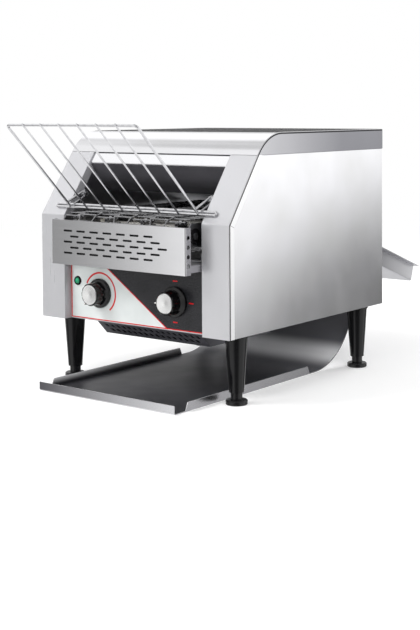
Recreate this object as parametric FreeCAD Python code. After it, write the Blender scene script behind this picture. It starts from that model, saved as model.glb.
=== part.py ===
import FreeCAD, Part
import math
import os

# A countertop conveyor toaster, in millimetres.
# While the pieces are made, x = 0 is the middle, y = 0 is the front face of the cheeks
# and z = 0 is the counter. At the end everything moves back to the middle of the whole box.

Vec = FreeCAD.Vector
os.makedirs("parts", exist_ok=True)

# Body
BODY_WIDTH = 368.0
BODY_DEPTH = 415.0
BODY_BOTTOM = 100.0
BODY_TOP = 387.0
SHEET = 1.0
BASE_SHEET = 1.2
HALF = BODY_WIDTH / 2
BEND = 1.5
SOFT_EDGE = 0.9

# Front: the cheeks stand up, then lean back to the top cover
CHEEK_TOP = 260.0
LEAN = math.radians(54.4)
CHEEK_INNER_X = 135.0
CHEEK_SIDE_RETURN = 12.0
PANEL_SETBACK = 14.0
COVER_EDGE_Z = 355.0
COVER_RADIUS = 72.0
SEAM = 0.5
INNER_WALL_X = 136.0
SKIN_TOP = 372.0

# Vented front cover
VENT_HALF = 131.5
VENT_FRONT_Y = -31.0
VENT_BOTTOM = 189.0
VENT_TOP = 256.0
VENT_RETURN = 12.0
SLOT_LENGTH = 17.5
SLOT_HEIGHT = 2.9
SLOT_PITCH = 26.5
SLOT_ROWS = [(240.2, -96.4, 7), (231.9, -83.1, 7), (223.6, -96.4, 8), (215.3, -83.1, 7), (207.0, -96.4, 7)]
SIDE_HOLES_Z = [202.0, 215.1, 228.3, 241.6]
SIDE_HOLE_R = 3.2

# Control panel
PANEL_BOTTOM = 101.3
PANEL_TOP = 205.0
SPEED_X = -73.0
SELECTOR_X = 75.0
KNOB_Z = 143.0
KNOB_TIP_Y = -10.3
CAP_R = 14.6
GRIP_R = 16.9
SKIRT_R = 22.3
FLUTES = 12
FLUTE_R = 3.2
FLUTE_DEPTH = 1.3
LAMP_X = -120.0
LAMP_Z = 158.5
OVERLAY = 0.4
OVERLAY_TOP = 191.8
OVERLAY_Y = PANEL_SETBACK - OVERLAY
SPINDLE_R = 3.0
SPINDLE_BORE_R = 3.05
BUSHING_R = 4.5

# Air intake grille under the front
INTAKE_X = (-79.0, 123.0)
INTAKE_BOTTOM = 79.7
INTAKE_BACK = 180.0

# Conveyor
PITCH_R = 22.5
BELT_WIRE_R = 1.1
STRANDS_PER_END = 6
STRANDS_PER_RUN = 26
BELT_PITCH = math.pi * PITCH_R / STRANDS_PER_END
BELT_HALF = 117.0
LINK_X = [-70.0, 0.0, 70.0]
IDLER_Y = -2.0
DRIVE_Y = IDLER_Y + STRANDS_PER_RUN * BELT_PITCH
SHAFT_Z = 242.0
SHAFT_R = 5.0
RUNNING_GAP = 0.05
RAIL_X = (122.0, 124.0)
SPROCKET_X = [-100.0, -35.0, 35.0, 100.0]

# Chain drive in the right-hand side compartment
CHAIN_X = 144.0
WHEEL_TEETH = 24
PINION_TEETH = 12
CHAIN_PITCH = 6.35
MOTOR_Y = 200.0
MOTOR_Z = 150.0

# Toast slide, rear chute, legs, rack
SLIDE_HALF = 132.0
SLIDE_FRONT_Y = -58.0
SLIDE_LIFT = 0.4
SLIDE_LIP = 12.6
SLIDE_FLAT_END = 290.0
SLIDE_RADIUS = 120.0
SLIDE_SWEEP = math.radians(78.8)
CHUTE_HALF = 132.0
CHUTE_SLOPE = 19.43
CHUTE_BACK = (415.0, 177.5)
CHUTE_INSIDE = 45.0
CHUTE_OUTSIDE = 196.9
CHUTE_WALL = 28.5
CHUTE_LIP = 11.0
LEG_X = 160.0
LEG_Y = [47.0, 372.0]
NECK_R = 8.5
RACK_HALF = 126.0
RACK_TOP = (-124.0, 399.5)
RACK_CORNER = (-3.5, 279.6)
RACK_PIVOT = (36.0, 291.5)
RACK_PIN_R = 2.5
RACK_WIRE_REACH = 4.747
RACK_BEND = 6.0

# Heating, air and cord entry
UPPER_TUBES = [(130.0, 322.0), (200.0, 322.0), (270.0, 322.0)]
LOWER_TUBES = [(75.0, SHAFT_Z), (150.0, SHAFT_Z), (225.0, SHAFT_Z)]
TUBE_R = 5.0
FLOOR_TOP = 206.0
FAN_X = -60.0
FAN_Z = 141.3
FAN_Y = (176.0, 201.0)
GLAND_X = -152.0
GLAND_Z = 132.0
GLAND_R = 8.0
CORD_BORE_R = 4.5

SHAPES = {}


def keep(name, *solids):
    """Store one node, made of one or more solids."""
    SHAPES[name] = solids[0] if len(solids) == 1 else Part.makeCompound(list(solids))


def block(x, y, z):
    """A box between two x values, two y values and two z values."""
    return Part.makeBox(x[1] - x[0], y[1] - y[0], z[1] - z[0], Vec(x[0], y[0], z[0]))


def rod(start, end, radius):
    """A round bar between two points."""
    along = end - start
    return Part.makeCylinder(radius, along.Length, start, along)


def x_rod(x, y, z, radius):
    """A round bar along X at one y and z."""
    return Part.makeCylinder(radius, x[1] - x[0], Vec(x[0], y, z), Vec(1, 0, 0))


def y_rod(x, y, z, radius):
    """A round bar along Y at one x and z."""
    return Part.makeCylinder(radius, y[1] - y[0], Vec(x, y[0], z), Vec(0, 1, 0))


def mirrored(shape):
    """The same piece on the other side of the middle."""
    return shape.mirror(Vec(0, 0, 0), Vec(1, 0, 0))


def rounded_corner(before, here, after, radius):
    """Start, middle and end of the arc that rounds one corner of a path."""
    back = (before - here).normalize()
    ahead = (after - here).normalize()
    half_angle = back.getAngle(ahead) / 2
    bisector = (back + ahead).normalize()
    reach = radius / math.tan(half_angle)
    depth = radius / math.sin(half_angle) - radius
    return here + back * reach, here + bisector * depth, here + ahead * reach


def path(points, radii=None, closed=False):
    """A wire through the points, with the listed corners rounded."""
    radii = radii or {}
    count = len(points)
    corners = []
    for i, here in enumerate(points):
        if i in radii:
            corners.append(rounded_corner(points[i - 1], here, points[(i + 1) % count], radii[i]))
        else:
            corners.append((here, None, here))
    edges = []
    for i, (start, middle, end) in enumerate(corners):
        if middle is not None:
            edges.append(Part.Arc(start, middle, end).toShape())
        if closed or i < count - 1:
            after = corners[(i + 1) % count][0]
            if (after - end).Length > 1e-4:
                edges.append(Part.makeLine(end, after))
    return Part.Wire(edges)


def placed(axis, u, v, w):
    """A profile point: u and v in the profile's plane, w along its axis."""
    if axis == "x":
        return Vec(w, u, v)
    if axis == "y":
        return Vec(u, w, v)
    return Vec(u, v, w)


def prism(axis, points, low, high, radii=None):
    """A closed profile, carried along one axis from low to high."""
    wire = path([placed(axis, u, v, low) for u, v in points], radii, closed=True)
    return Part.Face(wire).extrude(placed(axis, 0, 0, high - low))


def offset_points(points, thickness):
    """The same open line, moved to its left by the thickness."""
    moved = []
    count = len(points)
    for i, (u, v) in enumerate(points):
        normals = []
        for a, b in ((i - 1, i), (i, i + 1)):
            if a >= 0 and b < count:
                du = points[b][0] - points[a][0]
                dv = points[b][1] - points[a][1]
                length = math.hypot(du, dv)
                normals.append((-dv / length, du / length))
        nu = sum(n[0] for n in normals)
        nv = sum(n[1] for n in normals)
        scale = thickness * len(normals) / (nu * nu + nv * nv)
        moved.append((u + nu * scale, v + nv * scale))
    return moved


def folded_sheet(axis, points, thickness, low, high, radii=None):
    """Sheet metal folded along a line. The thickness is laid to the left of travel."""
    radii = radii or {}
    count = len(points)
    inside = offset_points(points, thickness)
    loop = list(points) + inside[::-1]
    loop_radii = {}
    for i in range(1, count - 1):
        (au, av), (bu, bv), (cu, cv) = points[i - 1], points[i], points[i + 1]
        turn = (bu - au) * (cv - bv) - (bv - av) * (cu - bu)
        toward_sheet = turn * thickness > 0
        outer = radii.get(i, BEND + abs(thickness))
        near = outer if toward_sheet else outer - abs(thickness)
        far = outer - abs(thickness) if toward_sheet else outer
        loop_radii[i] = near
        loop_radii[2 * count - 1 - i] = far
    return prism(axis, loop, low, high, loop_radii)


def front_edges(shape, x):
    """Edges that lie in one side plane."""
    found = []
    for edge in shape.Edges:
        box = edge.BoundBox
        if abs(box.XMin - x) < 1e-3 and abs(box.XMax - x) < 1e-3:
            found.append(edge)
    return found


def lean_point(z, inset=0.0):
    """Point of the leaning plane at one height, moved straight into the body by the inset."""
    return ((z - CHEEK_TOP) / math.tan(LEAN) + inset / math.sin(LEAN), z)


def on_wire(points, radius, radii=None):
    """Round wire swept along a path."""
    spine = path(points, radii)
    first = spine.Edges[0]
    start = first.valueAt(first.FirstParameter)
    heading = first.tangentAt(first.FirstParameter)
    circle = Part.Wire(Part.makeCircle(radius, start, heading))
    return spine.makePipeShell([circle], True, False, 1)


def fuse_all(solids):
    """One solid from several that touch or overlap."""
    return solids[0].fuse(solids[1:]).removeSplitter()


# Body shell

def cheek():
    """Right front cheek: front sheet with a side return and an inner return."""
    top = lean_point(COVER_EDGE_Z - SEAM)
    front = folded_sheet("x", [(0, BODY_BOTTOM), (0, CHEEK_TOP), top], -SHEET, CHEEK_INNER_X, HALF)
    solids = [front]
    returns = ((CHEEK_SIDE_RETURN, (HALF - SHEET, HALF)), (PANEL_SETBACK, (CHEEK_INNER_X, INNER_WALL_X)))
    for depth, x in returns:
        knee = CHEEK_TOP - (depth / math.sin(LEAN) - depth) * math.tan(LEAN)
        outline = [(0, BODY_BOTTOM), (0, CHEEK_TOP), top, lean_point(top[1], depth), (depth, knee),
                   (depth, BODY_BOTTOM)]
        solids.append(prism("x", outline, x[0], x[1], {1: BEND + SHEET}))
    shell = fuse_all(solids)
    rounded = [e for e in front_edges(shell, HALF) + front_edges(shell, CHEEK_INNER_X)
               if is_front_edge(e)]
    return shell.makeFillet(SOFT_EDGE, rounded)


def is_front_edge(edge):
    """True for an edge that runs up the front face or its leaning part."""
    middle = edge.valueAt((edge.FirstParameter + edge.LastParameter) / 2)
    lean_y = max(0.0, (middle.z - CHEEK_TOP) / math.tan(LEAN))
    return edge.BoundBox.ZLength > 0.5 and middle.y < lean_y + 0.6 and middle.z < COVER_EDGE_Z


def side_panel():
    """Right side skin, behind the cheek's return and under the cover's flange."""
    rear = BODY_DEPTH - SHEET
    outline = [(1.2, BODY_BOTTOM), (1.2, CHEEK_TOP - 1), lean_point(COVER_EDGE_Z - 1, 1.6), (95, SKIN_TOP),
               (rear, SKIN_TOP), (rear, BODY_BOTTOM)]
    return prism("x", outline, HALF - 2 * SHEET, HALF - SHEET)


def top_cover():
    """Top cover with a round front bend, two side flanges and a short back flange."""
    start = lean_point(COVER_EDGE_Z)
    apex = lean_point(BODY_TOP)
    back = (BODY_DEPTH, BODY_TOP)
    foot = (BODY_DEPTH, COVER_EDGE_Z)
    sheet = folded_sheet("x", [start, apex, back, foot], -SHEET, -HALF, HALF, {1: COVER_RADIUS})
    flange = prism("x", [start, apex, back, foot], HALF - SHEET, HALF, {1: COVER_RADIUS, 2: BEND + SHEET})
    shell = fuse_all([sheet, flange, mirrored(flange)])
    rounded = []
    for x in (HALF, -HALF):
        rounded += [e for e in front_edges(shell, x) if e.BoundBox.ZMax > COVER_EDGE_Z + 1
                    and e.BoundBox.ZMin + e.BoundBox.ZMax > 2 * COVER_EDGE_Z + 1]
    return shell.makeFillet(SOFT_EDGE, rounded)


def header_strip():
    """Bright strip under the cover's edge, set back a little between the cheeks."""
    recess = 2.5
    low = lean_point(336.0, recess)
    high = lean_point(358.4, recess)
    return folded_sheet("x", [(low[0] + 8, low[1]), low, high], -SHEET, -CHEEK_INNER_X, CHEEK_INNER_X)


def deflector_plate():
    """Dark plate that leads bread down to the belt and keeps the heat in."""
    points = [(61, 335.4), (78, 311), (104, 293), (110, 293)]
    return folded_sheet("x", points, SHEET, -CHEEK_INNER_X, CHEEK_INNER_X, {1: 60, 2: 4})


def inner_wall(shaft_holes):
    """Right wall of the toasting chamber, with holes for the shafts that pass it."""
    foot = BODY_BOTTOM + BASE_SHEET
    rear = BODY_DEPTH - 2 * SHEET
    outline = [(1.2, foot), (1.2, CHEEK_TOP - 1), lean_point(COVER_EDGE_Z - 1, 1.6), (95, SKIN_TOP),
               (rear, SKIN_TOP), (rear, foot)]
    wall = prism("x", outline, INNER_WALL_X, INNER_WALL_X + SHEET)
    for y, z, radius in shaft_holes:
        wall = wall.cut(x_rod((INNER_WALL_X - 1, INNER_WALL_X + 2), y, z, radius))
    return wall


def base_plate():
    """Floor of the body, open for the air intake and for the falling toast."""
    inner = HALF - 2 * SHEET
    plate = block((-inner, inner), (1.2, BODY_DEPTH - 2 * SHEET), (BODY_BOTTOM, BODY_BOTTOM + BASE_SHEET))
    through = (BODY_BOTTOM - 1, BODY_BOTTOM + 3)
    intake = block((INTAKE_X[0] + 3, INTAKE_X[1] - 3), (38, INTAKE_BACK - 6), through)
    drop = block((-133, 133), (322, 409), through)
    notch_x = INNER_WALL_X + SEAM
    notch = block((-notch_x, notch_x), (0, PANEL_SETBACK + SEAM / 2), through)
    return plate.cut([intake, drop, notch])


def rear_panel():
    """Back panel with the chute opening, louvre slots and the hole for the cord gland."""
    inner = HALF - 2 * SHEET
    y = (BODY_DEPTH - 2 * SHEET, BODY_DEPTH - SHEET)
    cut_y = (y[0] - 1, y[1] + 1)
    panel = block((-inner, inner), y, (BODY_BOTTOM + BASE_SHEET, SKIN_TOP))
    corners = [(-134, 172), (134, 172), (134, 252), (-134, 252)]
    panel = panel.cut(prism("y", corners, cut_y[0], cut_y[1], {i: 4 for i in range(4)}))
    for row in range(3):
        for i in range(9):
            panel = panel.cut(slot("y", -112 + 28 * i, 290 + 14 * row, 20, 4, cut_y))
    return panel.cut(y_rod(GLAND_X, cut_y, GLAND_Z, GLAND_R))


def slot(axis, u, v, length, height, through):
    """A cutter for one slot with round ends, its long side along the first profile axis."""
    radius = height / 2
    straight = length / 2 - radius
    left = [placed(axis, u - straight, v + radius, through[0]), placed(axis, u - length / 2, v, through[0]),
            placed(axis, u - straight, v - radius, through[0])]
    right = [placed(axis, u + straight, v - radius, through[0]), placed(axis, u + length / 2, v, through[0]),
             placed(axis, u + straight, v + radius, through[0])]
    edges = [Part.Arc(*left).toShape(), Part.makeLine(left[2], right[0]), Part.Arc(*right).toShape(),
             Part.makeLine(right[2], left[0])]
    return Part.Face(Part.Wire(edges)).extrude(placed(axis, 0, 0, through[1] - through[0]))


# Front cover, control panel and controls

def vent_cover():
    """Slotted cover in front of the belt, with side returns, hems and two mounting arms."""
    back = VENT_FRONT_Y + VENT_RETURN
    z = (VENT_BOTTOM, VENT_TOP)
    points = [(-VENT_HALF, back), (-VENT_HALF, VENT_FRONT_Y), (VENT_HALF, VENT_FRONT_Y), (VENT_HALF, back)]
    solids = [folded_sheet("z", points, SHEET, z[0], z[1])]
    hem_x = (-VENT_HALF + SHEET, VENT_HALF - SHEET)
    hem_y = (VENT_FRONT_Y + 0.5, VENT_FRONT_Y + 5)
    for hem_z in ((VENT_BOTTOM, VENT_BOTTOM + SHEET), (VENT_TOP - SHEET, VENT_TOP)):
        solids.append(block(hem_x, hem_y, hem_z))
    arm = block((VENT_HALF - SHEET, VENT_HALF), (back - 0.5, PANEL_SETBACK), (192, 202))
    solids += [arm, mirrored(arm)]
    cover = fuse_all(solids)
    through = (VENT_FRONT_Y - 1, VENT_FRONT_Y + 2)
    cutters = []
    for z_row, first_x, count in SLOT_ROWS:
        for i in range(count):
            cutters.append(slot("y", first_x + SLOT_PITCH * i, z_row, SLOT_LENGTH, SLOT_HEIGHT, through))
    for z_hole in SIDE_HOLES_Z:
        cutters.append(x_rod((-VENT_HALF - 1, VENT_HALF + 1), VENT_FRONT_Y + 6.3, z_hole, SIDE_HOLE_R))
    return cover.cut(cutters)


def control_panel():
    """Folded plate that carries the knobs and the lamp."""
    half = CHEEK_INNER_X - 0.2
    points = [(30, PANEL_TOP), (PANEL_SETBACK, PANEL_TOP), (PANEL_SETBACK, PANEL_BOTTOM), (24, PANEL_BOTTOM)]
    return pierced(folded_sheet("x", points, SHEET, -half, half))


def pierced(panel):
    """Cut the knob and lamp holes through a panel layer."""
    y = (PANEL_SETBACK - 3, PANEL_SETBACK + 3)
    holes = [y_rod(x, y, KNOB_Z, BUSHING_R) for x in (SPEED_X, SELECTOR_X)]
    return panel.cut(holes + [y_rod(LAMP_X, y, LAMP_Z, 6)])


def panel_overlay():
    """Thin printed film on the control panel."""
    half = CHEEK_INNER_X - 0.4
    return pierced(block((-half, half), (OVERLAY_Y, PANEL_SETBACK), (PANEL_BOTTOM, OVERLAY_TOP)))


def turned(profile, x, z):
    """A round piece, turned about an axis along Y. The profile is radius and y."""
    wire = path([Vec(x + radius, y, z) for radius, y in profile], closed=True)
    return Part.Face(wire).revolve(Vec(x, 0, z), Vec(0, 1, 0), 360)


def lamp_bezel():
    """Black threaded bezel of the lamp, with its barrel through the panel."""
    front = OVERLAY_Y
    profile = [(4.9, front - 1.8), (6.3, front - 2.2), (7.2, front - 0.8), (7.2, front), (6, front), (6, 30),
               (4.9, 30)]
    return turned(profile, LAMP_X, LAMP_Z)


def lamp_lens():
    """Green lens with a shallow stepped crown."""
    front = OVERLAY_Y
    profile = [(0, front - 3.4), (2.2, front - 3.1), (4.0, front - 2.1), (4.8, front - 0.8), (4.8, 26),
               (0, 26)]
    return turned(profile, LAMP_X, LAMP_Z)


def speed_control():
    """Rotary potentiometer behind the panel, with its threaded bushing and solder tags."""
    can = y_rod(SPEED_X, (20, 31), KNOB_Z, 12)
    bushing = y_rod(SPEED_X, (OVERLAY_Y, 20), KNOB_Z, BUSHING_R)
    solids = [can, bushing]
    for dx in (-5, 0, 5):
        solids.append(block((SPEED_X + dx - 1, SPEED_X + dx + 1), (24, 25), (KNOB_Z - 19, KNOB_Z - 11)))
    return fuse_all(solids).cut(y_rod(SPEED_X, (10, 29), KNOB_Z, SPINDLE_BORE_R))


def selector_switch():
    """Four-position rotary switch behind the panel."""
    case = block((SELECTOR_X - 16, SELECTOR_X + 16), (20, 44), (KNOB_Z - 16, KNOB_Z + 16))
    bushing = y_rod(SELECTOR_X, (OVERLAY_Y, 20), KNOB_Z, BUSHING_R)
    solids = [case, bushing]
    for dx in (-9, 0, 9):
        for dz in (-8, 8):
            x = (SELECTOR_X + dx - 2, SELECTOR_X + dx + 2)
            solids.append(block(x, (44, 52), (KNOB_Z + dz - 0.5, KNOB_Z + dz + 0.5)))
    return fuse_all(solids).cut(y_rod(SELECTOR_X, (10, 29), KNOB_Z, SPINDLE_BORE_R))


def spindle(x):
    """Control spindle with a flat where the knob grips it."""
    bar = y_rod(x, (KNOB_TIP_Y + 3.5, 28), KNOB_Z, SPINDLE_R)
    flat = block((x - 4, x + 4), (KNOB_TIP_Y, 4), (KNOB_Z + 1.6, KNOB_Z + 4))
    return bar.cut(flat)


def knob(x, pointer_deg):
    """Black knob: wide skirt, fluted grip and a pointer nub on the rim."""
    base = OVERLAY_Y - 0.6
    tip = KNOB_TIP_Y
    recess = CAP_R + 0.1
    profile = [(0, tip + 1.2), (recess, tip + 1.2), (recess, tip), (GRIP_R - 0.7, tip), (GRIP_R, tip + 0.8),
               (GRIP_R, 5.2), (GRIP_R + 1.3, 7.2), (SKIRT_R - 0.6, 8.6), (SKIRT_R, 9.4), (SKIRT_R, base),
               (0, base)]
    body = turned(profile, x, KNOB_Z)
    flutes = []
    reach = GRIP_R - FLUTE_DEPTH + FLUTE_R
    for i in range(FLUTES):
        angle = math.radians(360 / FLUTES * (i + 0.5))
        flute_x = x + reach * math.cos(angle)
        flute_z = KNOB_Z + reach * math.sin(angle)
        flutes.append(y_rod(flute_x, (tip - 1, 4.6), flute_z, FLUTE_R))
    nub = block((GRIP_R - 1.7, GRIP_R + 1.5), (tip - 0.6, tip + 10), (-1.2, 1.2))
    nub.rotate(Vec(0, 0, 0), Vec(0, 1, 0), -pointer_deg)
    nub.translate(Vec(x, 0, KNOB_Z))
    bore = spindle(x)
    return body.cut(flutes).fuse(nub).cut(bore)


def knob_cap(x):
    """Spun aluminium disc let into the front of a knob."""
    floor = KNOB_TIP_Y + 1.2
    profile = [(0, floor - 1.8), (7, floor - 2.3), (CAP_R - 1, floor - 2.6), (CAP_R, floor - 1.9),
               (CAP_R, floor), (0, floor)]
    return turned(profile, x, KNOB_Z)


def intake_grille():
    """Folded box under the front, with two rows of slanted slots in its sloping face."""
    outline = [(13.5, BODY_BOTTOM), (33.8, INTAKE_BOTTOM), (INTAKE_BACK, INTAKE_BOTTOM),
               (INTAKE_BACK, BODY_BOTTOM)]
    inner = [(14.9, BODY_BOTTOM + 1), (34.2, INTAKE_BOTTOM + SHEET),
             (INTAKE_BACK - SHEET, INTAKE_BOTTOM + SHEET), (INTAKE_BACK - SHEET, BODY_BOTTOM + 1)]
    box = prism("x", outline, INTAKE_X[0], INTAKE_X[1])
    box = box.cut(prism("x", inner, INTAKE_X[0] + SHEET, INTAKE_X[1] - SHEET))
    down = Vec(0, 20.3, -20.3).normalize()
    outward = Vec(0, -1, -1).normalize()
    origin = Vec(0, 13.5, BODY_BOTTOM)
    cutters = []
    for low, high, first, count in ((5, 12.5, INTAKE_X[0] + 9, 17), (15.5, 23, INTAKE_X[0] + 14, 16)):
        for i in range(count):
            x = first + 11 * i
            corners = [(x, low), (x + 7.4, low), (x + 11.4, high), (x + 4, high)]
            base = [origin + Vec(u, 0, 0) + down * v - outward * 2 for u, v in corners]
            cutters.append(Part.Face(path(base, closed=True)).extrude(outward * 4))
    return box.cut(cutters)


# Conveyor

def belt_strand():
    """One strand of the wire belt, lying across it, with three links that reach the next strand."""
    points = [Vec(-BELT_HALF, 0, 0)]
    for x in LINK_X:
        for dx, ahead, lift in ((-12, 0, 0), (-16.5, 1.1, 2.5), (16.5, 1.1, 2.5), (12, 0, 0)):
            points.append(Vec(x + dx, ahead * BELT_PITCH, lift))
    points.append(Vec(BELT_HALF, 0, 0))
    return on_wire(points, BELT_WIRE_R)


def conveyor_belt():
    """Loop of wire strands round both shafts. It travels back on top."""
    strand = belt_strand()
    strands = []
    for i in range(STRANDS_PER_RUN):
        top = strand.copy()
        top.translate(Vec(0, IDLER_Y + i * BELT_PITCH, SHAFT_Z + PITCH_R))
        bottom = strand.copy()
        bottom.rotate(Vec(0, 0, 0), Vec(1, 0, 0), 180)
        bottom.translate(Vec(0, DRIVE_Y - i * BELT_PITCH, SHAFT_Z - PITCH_R))
        strands += [top, bottom]
    for i in range(STRANDS_PER_END):
        for y, start in ((DRIVE_Y, 0), (IDLER_Y, 180)):
            turn = start + i * 180 / STRANDS_PER_END
            bent = strand.copy()
            bent.rotate(Vec(0, 0, 0), Vec(1, 0, 0), -90 / STRANDS_PER_END)
            bent.translate(Vec(0, 0, PITCH_R))
            bent.rotate(Vec(0, 0, 0), Vec(1, 0, 0), -turn)
            bent.translate(Vec(0, y, SHAFT_Z))
            strands.append(bent)
    return strands


def shaft(y, right_end):
    """Steel shaft across the conveyor."""
    return x_rod((-127, right_end), y, SHAFT_Z, SHAFT_R)


def toothed_wheel(x, y, z, width, teeth, tip_r, root_r, bore_r):
    """A wheel with pointed teeth, on an axis along X."""
    points = []
    for i in range(teeth):
        for fraction, radius in ((-0.30, root_r), (-0.12, tip_r), (0.12, tip_r), (0.30, root_r)):
            angle = 2 * math.pi * (i + fraction) / teeth
            points.append((y + radius * math.cos(angle), z + radius * math.sin(angle)))
    wheel = prism("x", points, x - width / 2, x + width / 2)
    return wheel.cut(x_rod((x - width, x + width), y, z, bore_r))


def belt_sprockets(y):
    """Four sprockets on one shaft, each with a hub."""
    solids = []
    for x in SPROCKET_X:
        wheel = toothed_wheel(x, y, SHAFT_Z, 5, 12, PITCH_R - BELT_WIRE_R - 0.5, 17.0, SHAFT_R)
        hub = x_rod((x - 9, x + 9), y, SHAFT_Z, 9).cut(x_rod((x - 10, x + 10), y, SHAFT_Z, SHAFT_R))
        solids.append(wheel.fuse(hub))
    return solids


def conveyor_rail():
    """Right side rail of the conveyor, standing on two feet on the chamber floor."""
    outline = [(-14, 228), (-14, 254), (-8, 260), (314, 260), (320, 254), (320, 228), (270, 224),
               (270, FLOOR_TOP), (240, FLOOR_TOP), (240, 224), (70, 224), (70, FLOOR_TOP), (40, FLOOR_TOP),
               (40, 224)]
    rail = prism("x", outline, RAIL_X[0], RAIL_X[1])
    for y in (IDLER_Y, DRIVE_Y):
        rail = rail.cut(x_rod((RAIL_X[0] - 1, RAIL_X[1] + 1), y, SHAFT_Z, 8))
    foot_y = ((40, 70), (240, 270))
    feet = [block((RAIL_X[1], RAIL_X[1] + 10), y, (FLOOR_TOP, FLOOR_TOP + 1.5)) for y in foot_y]
    return fuse_all([rail] + feet)


def shaft_bushes():
    """Four flanged bushes that carry the shafts in the rails."""
    solids = []
    for y in (IDLER_Y, DRIVE_Y):
        sleeve = x_rod((RAIL_X[0] - 1.5, RAIL_X[1] + 1), y, SHAFT_Z, 8)
        flange = x_rod((RAIL_X[1], RAIL_X[1] + 2), y, SHAFT_Z, 11)
        bore = x_rod((RAIL_X[0] - 5, RAIL_X[1] + 5), y, SHAFT_Z, SHAFT_R + RUNNING_GAP)
        bush = sleeve.fuse(flange).cut(bore)
        solids += [bush, mirrored(bush)]
    return solids


# Chain drive

def chain_pitch_radius(teeth):
    return CHAIN_PITCH / (2 * math.sin(math.pi / teeth))


def chain_wheel():
    """Large chain wheel with its hub, pinned on the drive shaft."""
    tip = chain_pitch_radius(WHEEL_TEETH) - 2.2
    wheel = toothed_wheel(CHAIN_X, DRIVE_Y, SHAFT_Z, 2.4, WHEEL_TEETH, tip, tip - 2.5, SHAFT_R)
    hub = x_rod((CHAIN_X, CHAIN_X + 9), DRIVE_Y, SHAFT_Z, 9)
    return wheel.fuse(hub.cut(x_rod((CHAIN_X - 1, CHAIN_X + 10), DRIVE_Y, SHAFT_Z, SHAFT_R)))


def motor_pinion():
    """Small chain wheel and the gearbox output shaft."""
    tip = chain_pitch_radius(PINION_TEETH) - 2.2
    wheel = toothed_wheel(CHAIN_X, MOTOR_Y, MOTOR_Z, 2.4, PINION_TEETH, tip, tip - 2.5, 3.9)
    return wheel.fuse(x_rod((112, CHAIN_X + 5), MOTOR_Y, MOTOR_Z, 4))


def drive_chain():
    """Roller chain round the pinion and the wheel: two rows of side plates and the rollers between."""
    centre_a = Vec(0, MOTOR_Y, MOTOR_Z)
    centre_b = Vec(0, DRIVE_Y, SHAFT_Z)
    small = chain_pitch_radius(PINION_TEETH)
    large = chain_pitch_radius(WHEEL_TEETH)
    along = centre_b - centre_a
    heading = math.atan2(along.z, along.y)
    tilt = math.asin((large - small) / along.Length)

    def ring(grow):
        """Belt line round both wheels, moved outward by grow."""
        ends = []
        for centre, radius in ((centre_a, small + grow), (centre_b, large + grow)):
            for side in (1, -1):
                angle = heading + side * (math.pi / 2 + tilt)
                ends.append(centre + Vec(0, math.cos(angle), math.sin(angle)) * radius)
        back = centre_a - Vec(0, math.cos(heading), math.sin(heading)) * (small + grow)
        front = centre_b + Vec(0, math.cos(heading), math.sin(heading)) * (large + grow)
        edges = [Part.makeLine(ends[0], ends[2]), Part.Arc(ends[2], front, ends[3]).toShape(),
                 Part.makeLine(ends[3], ends[1]), Part.Arc(ends[1], back, ends[0]).toShape()]
        return Part.Wire(edges)

    band = Part.Face(ring(2.4)).cut(Part.Face(ring(-2.0)))
    solids = []
    for x in (CHAIN_X - 2.6, CHAIN_X + 1.8):
        plate = band.extrude(Vec(0.8, 0, 0))
        plate.translate(Vec(x, 0, 0))
        solids.append(plate.Solids[0])
    line = ring(0)
    count = int(round(line.Length / CHAIN_PITCH))
    for point in line.discretize(count + 1)[:-1]:
        solids.append(x_rod((CHAIN_X - 1.8, CHAIN_X + 1.8), point.y, point.z, 1.6))
    return solids


def gear_motor():
    """Gearbox bolted to the inner wall, with its motor and a boss through the wall."""
    case = block((98, INNER_WALL_X), (MOTOR_Y - 24, MOTOR_Y + 24), (MOTOR_Z - 24, MOTOR_Z + 24))
    motor = x_rod((40, 98), MOTOR_Y, MOTOR_Z, 24)
    end = x_rod((34, 40), MOTOR_Y, MOTOR_Z, 12)
    boss = x_rod((INNER_WALL_X, INNER_WALL_X + 3), MOTOR_Y, MOTOR_Z, 7)
    return fuse_all([case, motor, end, boss]).cut(x_rod((110, 150), MOTOR_Y, MOTOR_Z, 4 + RUNNING_GAP))


# Heating and air

def heating_tubes(places, half):
    """Quartz heating tubes across the chamber."""
    return [x_rod((-half, half), y, z, TUBE_R) for y, z in places]


def tube_holders():
    """Ceramic blocks that hold the ends of the heating tubes."""
    solids = []
    for places, x in ((UPPER_TUBES, (125, INNER_WALL_X)), (LOWER_TUBES, (115, RAIL_X[0]))):
        for y, z in places:
            holder = block(x, (y - 8, y + 8), (z - 8, z + 8))
            holder = holder.cut(x_rod((x[0] - 1, x[1] - 2), y, z, TUBE_R + 0.05))
            solids += [holder, mirrored(holder)]
    return solids


def upper_reflector():
    """Bright sheet over the upper tubes, folded down at both ends."""
    points = [(112, 334), (112, 343), (345, 343), (345, 334)]
    return folded_sheet("x", points, -SHEET, -INNER_WALL_X, INNER_WALL_X)


def cavity_floor():
    """Sheet between the conveyor and the control compartment."""
    return block((-INNER_WALL_X, INNER_WALL_X), (30, 320), (FLOOR_TOP - SHEET, FLOOR_TOP))


def rear_guide():
    """Curved sheet that turns falling toast down behind the belt."""
    points = [(350, 338), (392, 312), (411, 262)]
    return folded_sheet("x", points, SHEET, -INNER_WALL_X, INNER_WALL_X, {1: 60})


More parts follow.
